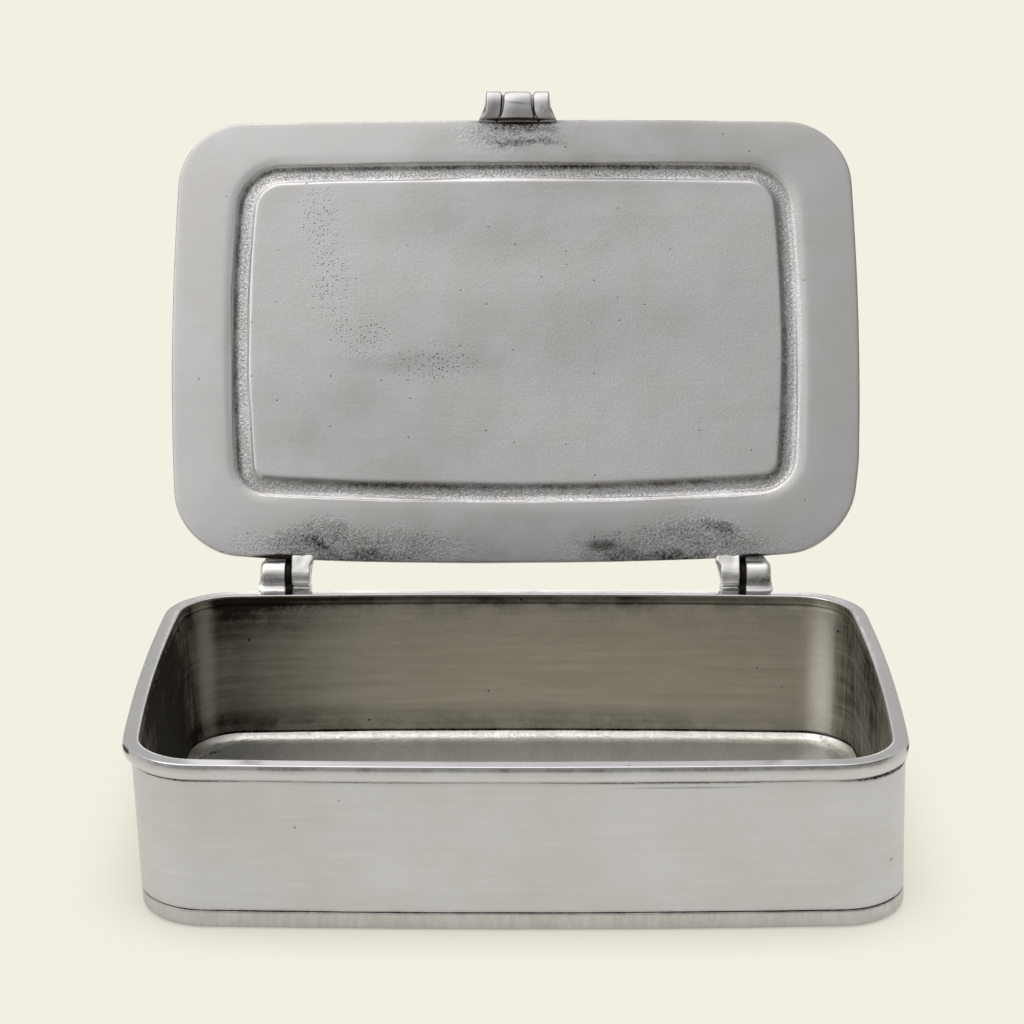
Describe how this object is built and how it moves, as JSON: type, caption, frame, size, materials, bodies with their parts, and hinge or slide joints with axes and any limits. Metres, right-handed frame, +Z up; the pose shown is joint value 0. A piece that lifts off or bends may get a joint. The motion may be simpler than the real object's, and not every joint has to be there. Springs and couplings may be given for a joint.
{
  "type": "hinged lidded box",
  "caption": "Low rectangular cast-pewter box with rounded corners, a proud collar, a moulded hinged lid that leans open on stops, and a fluted thumb piece.",
  "frame": {"origin": "centre of the collar seen from above, at the height of the flat underside that the box stands on", "axes": "+X to the right seen from the thumb piece's side, +Y to the back where the hinges are, +Z up"},
  "size_m": [0.1701, 0.1697, 0.1505],
  "materials": {
    "tray_pewter": "satin pewter, darkened inside",
    "band_pewter": "satin pewter, finely brushed",
    "lid_pewter": "satin pewter, cast pits and dark patina in the groove",
    "polished_pewter": "hand-polished pewter",
    "pin_metal": "plain drawn metal"
  },
  "bodies": {
    "box": {"base_tray": "tray_pewter", "wall_band": "band_pewter", "rim_frame": "polished_pewter", "box_knuckle_left": "polished_pewter", "box_knuckle_right": "polished_pewter", "hinge_pin_left": "pin_metal", "hinge_pin_right": "pin_metal"},
    "lid": {"lid_plate": "lid_pewter", "thumb_piece": "polished_pewter", "lid_knuckle_left": "polished_pewter", "lid_knuckle_right": "polished_pewter"}
  },
  "joints": [
    {"name": "lid_hinge", "type": "hinge", "parent": "box", "child": "lid", "pos_m": [0, 0.05828, 0.0409], "axis": [1, 0, 0], "range_deg": [0, 116.7]}
  ]
}
